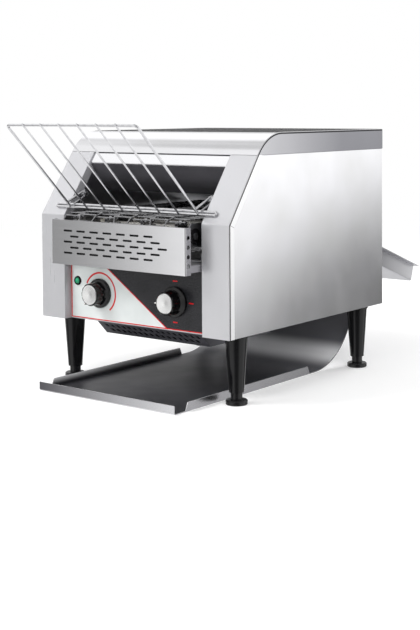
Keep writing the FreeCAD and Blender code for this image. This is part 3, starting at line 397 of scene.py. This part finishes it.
class SteelSettings(bpy.types.PropertyGroup):
    """Colours of the metals."""
    bright: bpy.props.StringProperty(name="Body", description="Buffed stainless", default="#e6e6e9")
    bright_low: bpy.props.StringProperty(name="Body, duller", description="Duller spots", default="#dededf")
    satin: bpy.props.StringProperty(name="Satin", description="Satin stainless", default="#c9c9cc")
    satin_low: bpy.props.StringProperty(name="Satin, duller", description="Duller spots", default="#bebec2")
    wire: bpy.props.StringProperty(name="Wire", description="Polished wire", default="#e2e2e4")
    grain: bpy.props.FloatProperty(
        name="Grain", description="Spacing of the brushed lines, as coarse as shows", default=0.0018,
        unit="LENGTH", subtype="DISTANCE")


class PrintSettings(bpy.types.PropertyGroup):
    """The panel's printed film."""
    paper: bpy.props.StringProperty(name="Film", description="Light part of the film", default="#d9dddc")
    charcoal: bpy.props.StringProperty(name="Dark ink", description="Dark part", default="#202023")
    red: bpy.props.StringProperty(name="Red ink", description="Lines and marks", default="#d00a10")
    line: bpy.props.FloatProperty(
        name="Line", description="Width of the red line", default=0.0022, unit="LENGTH", subtype="DISTANCE")
    arc: bpy.props.FloatProperty(
        name="Arc", description="Radius of the red arc", default=0.0307, unit="LENGTH", subtype="DISTANCE")
    arc_start: bpy.props.FloatProperty(
        name="Arc start", description="Lower right end of the arc", default=math.radians(-52),
        subtype="ANGLE", unit="ROTATION")
    arc_end: bpy.props.FloatProperty(
        name="Arc end", description="Upper left end of the arc", default=math.radians(156),
        subtype="ANGLE", unit="ROTATION")


class PartMaker:
    """What every operator here shares."""
    bl_options = {"REGISTER", "UNDO"}

    def execute(self, context):
        self.make(context.scene)
        return {"FINISHED"}


class TOASTER_OT_casing(PartMaker, bpy.types.Operator):
    """Stainless body sheets, inner sheets, screws, fine lines at the sheets' joins, painted reflection and shadow
    lines along their edges, and a dark plate painted as shade behind the vent slots
    """
    bl_idname = "toaster.casing"
    bl_label = "Casing"

    def make(self, scene):
        steel = scene.toaster_steel
        line = steel.grain / MM
        upright = (line, 60, line * 40)
        buffed = (steel.bright, steel.bright_low)
        dress(sheet_stainless("Stainless sheet buffed", buffed, 0.13, upright, wear=0.02),
              "side_panel_left", "side_panel_right")
        # The cover's outward side faces are painted darker towards the rear: painted shade.
        dress(sheet_stainless("Stainless sheet buffed cover", buffed, 0.15, upright, wear=0.02,
                              painted_side_light_and_shade=("#b6b6b9", "#838388")), "top_cover")
        dress(sheet_stainless("Stainless sheet polished", ("#f2f2f4", "#ececee"), 0.12,
                              (line * 40, line, line), wear=0.02), "header_strip")
        # The cheeks' outward side faces are painted near white: a painted highlight.
        dress(sheet_stainless("Stainless sheet fine brushed", ("#c9c9cc", "#c4c4c7"), 0.3, upright, wear=0.02,
                              metal=0.6, painted_side_light_and_shade=("#fafafb", "#fafafb"), inner="#c8c8cc"),
              "front_cheek_left", "front_cheek_right")
        across = (line * 40, line, line)
        # The vent cover's outward side faces are painted darker and less metallic: painted shade.
        dress(sheet_stainless("Stainless sheet satin crowned", ("#f2f2f4", "#ebebed"), 0.22, across, wear=0.02,
                              crown=(-0.058, 0.3), painted_side_light_and_shade=("#a2a1a6", "#a2a1a6"), flange_metal=0.3), "vent_cover")
        dress(sheet_stainless("Stainless sheet satin", (steel.satin, steel.satin_low), 0.3, across, wear=0.02),
              "rear_panel", "inner_wall_left", "inner_wall_right", "control_panel", "base_plate")
        mill = sheet_stainless("Stainless sheet mill finish", ("#8f8f92", "#7f7f83"), 0.36,
                               (line * 20, line, line * 3), wear=0.08)
        dress(mill, "cavity_floor", "upper_reflector", "rear_guide")
        dress(blackened_steel("Steel blackened", ("#4c4b50", "#5a595e"), 0.42, metal=0.25), "deflector_plate")
        dress(turned_metal("Steel screws zinc plated", ("#b9b9b6", "#a3a3a1"), 0.25, (0, 0, 0), 0),
              "case_screws")
        self.joins_and_painted_lines()
        self.vent_painted_shade_plate()

    @staticmethod
    def vent_painted_shade_plate():
        """A near-black plate close behind the slots of the vent cover: a dark sheet standing in for the shade inside
        the slots.
        """
        low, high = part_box("vent_cover")
        edge, gap = 4 * MM, 2.6 * MM
        outline = [(low.x + edge, low.z + edge), (high.x - edge, low.z + edge), (high.x - edge, high.z - edge),
                   (low.x + edge, high.z - edge)]
        # Near black: painted shade seen through the slots.
        painted_slot_shade = blackened_steel("Black plate painted slot shade", ("#070708", "#0d0d0e"), 0.7, metal=0.1)
        plate("vent_painted_shade_plate", [outline], low.y + gap, 0.4 * MM, "body", painted_slot_shade)

    @staticmethod
    def side_outline():
        """The side's outline from the front foot, up the cheek and round the cover to the back, in metres."""
        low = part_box("front_cheek_right")[0]
        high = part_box("top_cover")[1]
        apex = low.y + (high.z - KNEE) / math.tan(LEAN)
        centre = (apex + COVER_BEND * math.tan(LEAN / 2), high.z - COVER_BEND)
        arc = ring_points(centre, COVER_BEND, 90, 90 + math.degrees(LEAN), 14)[::-1]
        return [(low.y, low.z), (low.y, KNEE)] + arc + [(high.y - 1.2 * MM, high.z)]

    def joins_and_painted_lines(self):
        """Fine lines at the joins behind the cheek's return and at the knee, a dark strip along the side's outer edge
        as a painted reflection of its rounded bend, and a painted shadow line in the gap under the cover.
        """
        # Black for the painted reflection along the side's outer edge; grey for the join lines and for the painted gap
        # shadow under the cover.
        painted_edge_reflection = moulded("Black painted edge reflection", ("#1c1c1f", "#28282b"), 0.5, 0.8, 0.02, shine=0.3)
        joins_and_painted_gap_shadow = blackened_steel("Steel join lines and painted gap shadow", ("#77777b", "#88888c"), 0.4)
        outline = self.side_outline()
        front, rear = outline[0][0], outline[-1][0]
        return_depth, thick = 12 * MM, 0.1 * MM
        corner_reflection, edge, crease = (0.8 * MM, 3 * MM), 0.7 * MM, 0.6 * MM
        cheek_top = (front + (COVER_LOW - KNEE) / math.tan(LEAN), COVER_LOW)
        back_line = moved_in([outline[0], outline[1], cheek_top], return_depth)
        start = cheek_top[0] + return_depth
        under = [(start, COVER_LOW), (rear, COVER_LOW), (rear, COVER_LOW - edge), (start, COVER_LOW - edge)]
        seam_end, fold = front + corner_reflection[1], back_line[1]
        mitre = [(seam_end, KNEE), fold, (fold[0], fold[1] - crease), (seam_end, KNEE - crease)]
        for name, sign in (("right", 1), ("left", -1)):
            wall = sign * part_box("front_cheek_right")[1].x
            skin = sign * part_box("side_panel_right")[1].x
            # The first strip is a painted reflection, the cover line a painted shadow in the gap; the return and knee
            # lines mark joins.
            for seam, shape, face, finish in (("corner_reflection", band(outline, *corner_reflection), wall, painted_edge_reflection),
                                              ("return", band(back_line, 0, edge), skin, joins_and_painted_gap_shadow),
                                              ("cover", under, skin, joins_and_painted_gap_shadow), ("knee", mitre, wall, joins_and_painted_gap_shadow)):
                plate(f"seam_{seam}_{name}", [shape], face, sign * thick, "body", finish,
                      side=True)


class TOASTER_OT_wirework(PartMaker, bpy.types.Operator):
    """Loading rack, belt, chain and shafts"""
    bl_idname = "toaster.wirework"
    bl_label = "Wirework and drive"

    def make(self, scene):
        steel = scene.toaster_steel
        dress(drawn_wire("Stainless wire electropolished", (steel.wire, "#d0d0d3"), 0.1), "loading_rack")
        dress(drawn_wire("Stainless wire heat dulled", ("#a9a9ab", "#8c8c8e"), 0.2), "conveyor_belt")
        line = steel.grain / MM
        rail = sheet_stainless("Steel rail rolled", ("#8a8a8d", "#7a7a7d"), 0.4, (line, line * 30, line))
        dress(rail, "conveyor_rail_left", "conveyor_rail_right", "chute_rails")
        turned = turned_metal("Steel turned", ("#b2b2b4", "#9c9c9f"), 0.22, (0, 0, 0), 0)
        dress(turned, "drive_shaft", "idler_shaft", "drive_sprockets", "idler_sprockets", "chain_wheel",
              "motor_pinion", "rack_pins", "speed_spindle", "selector_spindle", "drive_chain")
        dress(turned_metal("Bronze sintered oiled", ("#39373a", "#2b2a2c"), 0.45, (0, 0, 0), 0), "shaft_bushes")


class TOASTER_OT_insides(PartMaker, bpy.types.Operator):
    """Motor, fan, controls, heating tubes and cord gland"""
    bl_idname = "toaster.insides"
    bl_label = "Insides"

    def make(self, scene):
        dress(blackened_steel("Steel stove enamelled", ("#2b2c2f", "#37383b"), 0.4, metal=0.2), "gear_motor")
        nylon = moulded("Nylon moulded", ("#1c1c1e", "#232326"), 0.42, 0.8, 0.02)
        dress(nylon, "fan_housing", "fan_rotor", "cord_gland", "speed_control", "selector_switch")
        dress(fused_quartz("Quartz tube drawn"), "upper_heating_tubes", "lower_heating_tubes")
        dress(fired_ceramic("Steatite fired"), "tube_holders")


class TOASTER_OT_knobs(PartMaker, bpy.types.Operator):
    """Knobs, their spun caps and the lamp"""
    bl_idname = "toaster.knobs"
    bl_label = "Knobs and lamp"

    def make(self, scene):
        phenolic = moulded("Phenolic moulded", ("#070708", "#0c0c0d"), 0.14, 1.5, 0.01, coat=0.15, shine=0.3)
        dress(phenolic, "speed_knob", "selector_knob", "lamp_bezel")
        for name in ("speed_knob_cap", "selector_knob_cap"):
            low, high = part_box(name)
            spun = turned_metal("Aluminium spun " + name.split("_")[0], ("#ffffff", "#ececea"), 0.24,
                                (low + high) / 2, 1, ring_mm=0.7, polish=0.4)
            dress(spun, name)
        dress(clear_moulding("Acrylic tinted green", "#14c489", "#0c8f63"), "lamp_lens")
        self.pointers(moulded("Ink white pad printed", ("#e9e9e6", "#dcdcd9"), 0.4, 0.8, 0.01))

    @staticmethod
    def pointers(paint):
        """The painted tips of the pointer nubs on both knobs' rims."""
        for name, body, angle in (("speed", "speed_dial", 235), ("selector", "selector_dial", 180)):
            low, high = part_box(name + "_knob_cap")
            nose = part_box(name + "_knob")[0].y
            middle = Vector(((low.x + high.x) / 2, (low.z + high.z) / 2))
            way = Vector((math.cos(math.radians(angle)), math.sin(math.radians(angle))))
            half = Vector((-way.y, way.x)) * 0.8 * MM
            near, far = middle + way * 15.6 * MM, middle + way * 18.2 * MM
            corners = [tuple(near - half), tuple(far - half), tuple(far + half), tuple(near + half)]
            plate(name + "_knob_pointer", [corners], nose - 0.02 * MM, 0.06 * MM, body, paint)


class TOASTER_OT_panel(PartMaker, bpy.types.Operator):
    """The control panel's printed film"""
    bl_idname = "toaster.panel"
    bl_label = "Panel print"

    def make(self, scene):
        ink = scene.toaster_print
        dress(screen_ink("Polyester film satin", (ink.paper, "#cdd2d1")), "panel_overlay")
        charcoal = screen_ink("Ink charcoal", (ink.charcoal, "#2a2a2d"), 0.26)
        red = screen_ink("Ink red", (ink.red, "#c2060c"))
        low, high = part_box("panel_overlay")
        edge = 0.4 * MM
        left, right = low.x + edge, high.x - edge
        bottom, top = low.z + edge, high.z - edge
        split_low, split_high = 61.4 * MM, -71.4 * MM
        lift, skin = 0.03 * MM, 0.06 * MM
        speed = self.centre("speed_knob_cap")
        selector = self.centre("selector_knob_cap")
        dark = [(split_low, bottom), (right, bottom), (right, top), (split_high, top)]
        plate("panel_ink_charcoal", [dark, ring_points(selector, 6 * MM)], low.y - lift, skin, "body",
              charcoal)
        wide = ink.line * 1.2
        face = low.y - 2 * lift
        line = [(split_low - wide, bottom), (split_low, bottom), (split_high, top), (split_high - wide, top)]
        plate("panel_ink_red_line", [line], face, skin, "body", red)
        plate("panel_ink_red_left", [[(left, bottom), (left + ink.line, bottom), (left + ink.line, top),
                                      (left, top)]], face, skin, "body", red)
        thin = ink.line * 0.7
        plate("panel_ink_red_bottom", [[(left + ink.line, bottom), (right, bottom), (right, bottom + thin),
                                        (left + ink.line, bottom + thin)]],
              face - lift, skin, "body", red)
        start, end = math.degrees(ink.arc_start), math.degrees(ink.arc_end)
        outer = ring_points(speed, ink.arc + wide / 2, start, end)
        inner = ring_points(speed, ink.arc - wide / 2, start, end)
        plate("panel_ink_red_arc", [outer + inner[::-1]], face, skin, "body", red)
        long, high_mark = 4.2 * MM, 0.9 * MM
        for count, angle in enumerate((90, 0, -90)):
            x = selector[0] + 30 * MM * math.cos(math.radians(angle))
            z = selector[1] + 30 * MM * math.sin(math.radians(angle))
            mark = [(x - long, z - high_mark), (x + long, z - high_mark), (x + long, z + high_mark),
                    (x - long, z + high_mark)]
            plate(f"panel_ink_mark_{count + 1}", [mark], face, skin, "body", red)

    @staticmethod
    def centre(name):
        """A node's middle, seen from the front."""
        low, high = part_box(name)
        return (low.x + high.x) / 2, (low.z + high.z) / 2


class TOASTER_OT_slide_and_chute(PartMaker, bpy.types.Operator):
    """Toast slide, rear chute and intake grille"""
    bl_idname = "toaster.slide_and_chute"
    bl_label = "Slide, chute and grille"

    def make(self, scene):
        line = scene.toaster_steel.grain / MM
        # Painted shade and light on the outside; painted reflection and a painted highlight band inside.
        dress(slide_with_painted_reflection("Stainless sheet painted reflection inside", ("#77767b", "#ececef"), ("#29292d", "#7c7c81"),
                           "#fdfdff"), "toast_slide")
        # The chute's outward side faces are painted dark near the body and bright towards its end: painted shadow.
        dress(sheet_stainless("Stainless sheet bead blasted", ("#c4c4c8", "#bababe"), 0.4,
                              (line, line * 12, line * 4), painted_side_light_and_shade=("#545458", "#d8d8db"), reach=(0.19, 0.36)),
              "rear_chute")
        dress(blackened_steel("Steel painted dark", ("#4a4a50", "#55555b"), 0.45, metal=0.3), "intake_grille")
        self.grille_painted_shade_pad()

    @staticmethod
    def grille_painted_shade_pad():
        """A black pad behind the sloping face of the intake grille: a dark sheet standing in for the shade inside its
        slots.
        """
        low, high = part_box("intake_grille")
        edge = 2 * MM
        # Near black: painted shade seen through the grille's slots.
        painted_grille_shade = moulded("Black pad painted grille shade", ("#060607", "#0c0c0d"), 0.9, 0.6, 0.2, shine=0.1)
        top = (low.y + 3.6 * MM, high.z - 1.4 * MM)
        bottom = (low.y + 21.6 * MM, low.z + 2.6 * MM)
        pad = [top, bottom, (bottom[0] + edge, bottom[1]), (top[0] + edge, top[1])]
        plate("intake_painted_shade_pad", [pad], low.x + edge, high.x - low.x - 2 * edge, "body", painted_grille_shade,
              side=True)


class TOASTER_OT_legs(PartMaker, bpy.types.Operator):
    """Four legs and their levelling feet"""
    bl_idname = "toaster.legs"
    bl_label = "Legs and feet"

    def make(self, scene):
        gloss = moulded("Polyamide moulded gloss", ("#08080a", "#0e0e10"), 0.14, 2.0, 0.01, coat=0.1, shine=0.3)
        ends = [f"{end}_{side}" for end in ("front", "rear") for side in ("left", "right")]
        dress(gloss, *("leg_" + end for end in ends))
        matt = moulded("Polyamide moulded", ("#0b0b0d", "#121214"), 0.26, 1.2, 0.03, shine=0.4)
        dress(matt, *("foot_" + end for end in ends))


class TOASTER_OT_studio(PartMaker, bpy.types.Operator):
    """Camera, floor, room and lamps"""
    bl_idname = "toaster.studio"
    bl_label = "Studio"

    def make(self, scene):
        studio = scene.toaster_studio
        self.camera(scene, studio)
        self.floor(scene, studio)
        self.room(scene, studio)
        for lamp in LAMPS:
            self.lamp(scene, *lamp)
        scene.view_settings.view_transform = "Standard"

    @staticmethod
    def camera(scene, studio):
        data = bpy.data.cameras.new("camera")
        data.lens = studio.lens
        data.shift_x, data.shift_y = studio.shift
        eye = bpy.data.objects.new("camera", data)
        scene.collection.objects.link(eye)
        eye.matrix_world = (Matrix.Translation(studio.eye) @ Matrix.Rotation(studio.turn, 4, "Z")
                            @ Matrix.Rotation(math.pi / 2 - studio.dip, 4, "X")
                            @ Matrix.Rotation(studio.roll, 4, "Z"))
        scene.camera = eye

    @staticmethod
    def seen(tree):
        """1 for what the eye, a mirror or glass sees, 0 for light that falls on the object."""
        path = add(tree, "ShaderNodeLightPath").outputs
        both = add(tree, "ShaderNodeMath", {0: path["Is Camera Ray"], 1: path["Is Glossy Ray"]},
                   operation="MAXIMUM").outputs[0]
        return add(tree, "ShaderNodeMath", {0: both, 1: path["Is Transmission Ray"]},
                   operation="MAXIMUM").outputs[0]

    def floor(self, scene, studio):
        """A pale floor: white round the object, its shadow kept; mirrors see the room's cards instead."""
        material, tree = blank("Studio floor")
        speck = pattern(tree, (3, 3, 3))
        place = add(tree, "ShaderNodeTexCoord").outputs["Object"]
        away = add(tree, "ShaderNodeVectorMath", {0: place}, operation="LENGTH").outputs["Value"]
        paint = mottled(tree, speck, (studio.floor, "#e2e2e2"))
        near, lift = (add(tree, "ShaderNodeMapRange", {0: away, 1: 0.9, 2: 2.6, 3: here, 4: afar},
                          interpolation_type="SMOOTHSTEP").outputs[0]
                      for here, afar in ((1.0, 0.0), (studio.floor_lift, 1.0)))
        paint = add(tree, "ShaderNodeMix", {0: near, 6: (0, 0, 0, 1), 7: paint}, data_type="RGBA").outputs[2]
        shade = add(tree, "ShaderNodeBsdfDiffuse", {"Color": paint})
        power = add(tree, "ShaderNodeMath", {0: self.seen(tree), 1: lift}, operation="MULTIPLY").outputs[0]
        glow = add(tree, "ShaderNodeEmission", {"Color": (1, 1, 1, 1), "Strength": power})
        plain = add(tree, "ShaderNodeAddShader", {0: shade.outputs[0], 1: glow.outputs[0]}).outputs[0]
        clear = add(tree, "ShaderNodeBsdfTransparent").outputs[0]
        glossy = add(tree, "ShaderNodeLightPath").outputs["Is Glossy Ray"]
        both = add(tree, "ShaderNodeMixShader", {0: glossy, 1: plain, 2: clear})
        add(tree, "ShaderNodeOutputMaterial", {"Surface": both.outputs[0]})
        mesh = bpy.data.meshes.new("studio_floor")
        form = bmesh.new()
        bmesh.ops.create_grid(form, x_segments=1, y_segments=1, size=60)
        form.to_mesh(mesh)
        form.free()
        mesh.materials.append(material)
        ground = bpy.data.objects.new("studio_floor", mesh)
        scene.collection.objects.link(ground)

    def room(self, scene, studio):
        """White to the eye, with grey and bright cards for mirrors, and a soft even light on the object."""
        world = bpy.data.worlds.new("Studio room")
        world.use_nodes = True
        tree = world.node_tree
        tree.nodes.clear()
        way = add(tree, "ShaderNodeTexCoord").outputs["Generated"]
        level = 1.0
        for turn, rise, inner, outer, value in CARDS:
            turn, rise = math.radians(turn), math.radians(rise)
            aim = (math.sin(turn) * math.cos(rise), math.cos(turn) * math.cos(rise), math.sin(rise))
            near = add(tree, "ShaderNodeVectorMath", {0: way, 1: aim}, operation="DOT_PRODUCT").outputs["Value"]
            edges = {0: near, 1: math.cos(math.radians(outer)), 2: math.cos(math.radians(inner))}
            share = add(tree, "ShaderNodeMapRange", edges, interpolation_type="SMOOTHSTEP").outputs[0]
            level = add(tree, "ShaderNodeMix", {0: share, 2: level, 3: value}).outputs[0]
        path = add(tree, "ShaderNodeLightPath").outputs
        lit = add(tree, "ShaderNodeMapRange", {"Value": self.seen(tree), "To Min": studio.sky,
                                               "To Max": 1.0}).outputs["Result"]
        strength = add(tree, "ShaderNodeMix", {0: path["Is Glossy Ray"], 2: lit, 3: level}).outputs[0]
        back = add(tree, "ShaderNodeBackground", {"Color": (1, 1, 1, 1), "Strength": strength})
        add(tree, "ShaderNodeOutputWorld", {"Surface": back.outputs[0]})
        scene.world = world

    @staticmethod
    def lamp(scene, name, place, target, size, power):
        data = bpy.data.lights.new(name, "AREA")
        data.shape = "RECTANGLE"
        data.size, data.size_y = size
        data.energy = power
        light = bpy.data.objects.new(name, data)
        scene.collection.objects.link(light)
        aim = Vector(target) - Vector(place)
        light.matrix_world = Matrix.Translation(place) @ aim.to_track_quat("-Z", "Y").to_matrix().to_4x4()
        light.visible_glossy = False


# What mirrors see of the room: turn right from straight behind, rise, soft edge from and to, brightness
CARDS = (
    (0, 90, 20, 55, 0.5),
    (40, 2, 14, 30, 1.35),
    (24.4, -19.4, 12.8, 19.4, 0.2),
    (-115, 48, 12, 30, 1.12),
    (-92, 54, 3, 9, 0.72),
    (-52, 38, 8, 18, 1.35),
    (-38, 4, 8, 13, 0.09),
    (-112, -6, 10, 28, 0.25),
    (-125, -20, 6, 16, 0.3),
    (142, -5, 14, 42, 0.16),
)

# Each lamp's name, place, target, width and height in metres, and watts
LAMPS = (
    ("lamp_key", (-1.6, -1.9, 2.3), (0, 0, 0.2), (1.6, 1.2), 70),
    ("lamp_fill", (2.2, -1.2, 1.6), (0, 0, 0.2), (1.4, 1.4), 22),
    ("lamp_back", (0.6, 2.2, 1.8), (0, 0, 0.3), (1.6, 1.0), 30),
    ("lamp_throat", (0.2, -1.7, 0.5), (0, -0.15, 0.28), (0.5, 0.3), 6),
)

MAKERS = (TOASTER_OT_studio, TOASTER_OT_casing, TOASTER_OT_wirework, TOASTER_OT_insides, TOASTER_OT_knobs,
          TOASTER_OT_panel, TOASTER_OT_slide_and_chute, TOASTER_OT_legs)
SETTINGS = {"toaster_studio": StudioSettings, "toaster_steel": SteelSettings, "toaster_print": PrintSettings}


class TOASTER_PT_sidebar(bpy.types.Panel):
    """The toaster's settings and makers"""
    bl_idname = "TOASTER_PT_sidebar"
    bl_label = "Conveyor toaster"
    bl_space_type = "VIEW_3D"
    bl_region_type = "UI"
    bl_category = "Toaster"

    def draw(self, context):
        for group in SETTINGS:
            box = self.layout.box()
            for name in SETTINGS[group].__annotations__:
                box.prop(getattr(context.scene, group), name)
        for maker in MAKERS:
            self.layout.operator(maker.bl_idname)


def register():
    for group, kind in SETTINGS.items():
        bpy.utils.register_class(kind)
        setattr(bpy.types.Scene, group, bpy.props.PointerProperty(type=kind))
    for kind in (*MAKERS, TOASTER_PT_sidebar):
        bpy.utils.register_class(kind)


def unregister():
    for kind in (TOASTER_PT_sidebar, *reversed(MAKERS)):
        bpy.utils.unregister_class(kind)
    for group, kind in reversed(SETTINGS.items()):
        delattr(bpy.types.Scene, group)
        bpy.utils.unregister_class(kind)


def main():
    register()
    for maker in MAKERS:
        group, call = maker.bl_idname.split(".")
        getattr(getattr(bpy.ops, group), call)()


if __name__ == "__main__":
    main()
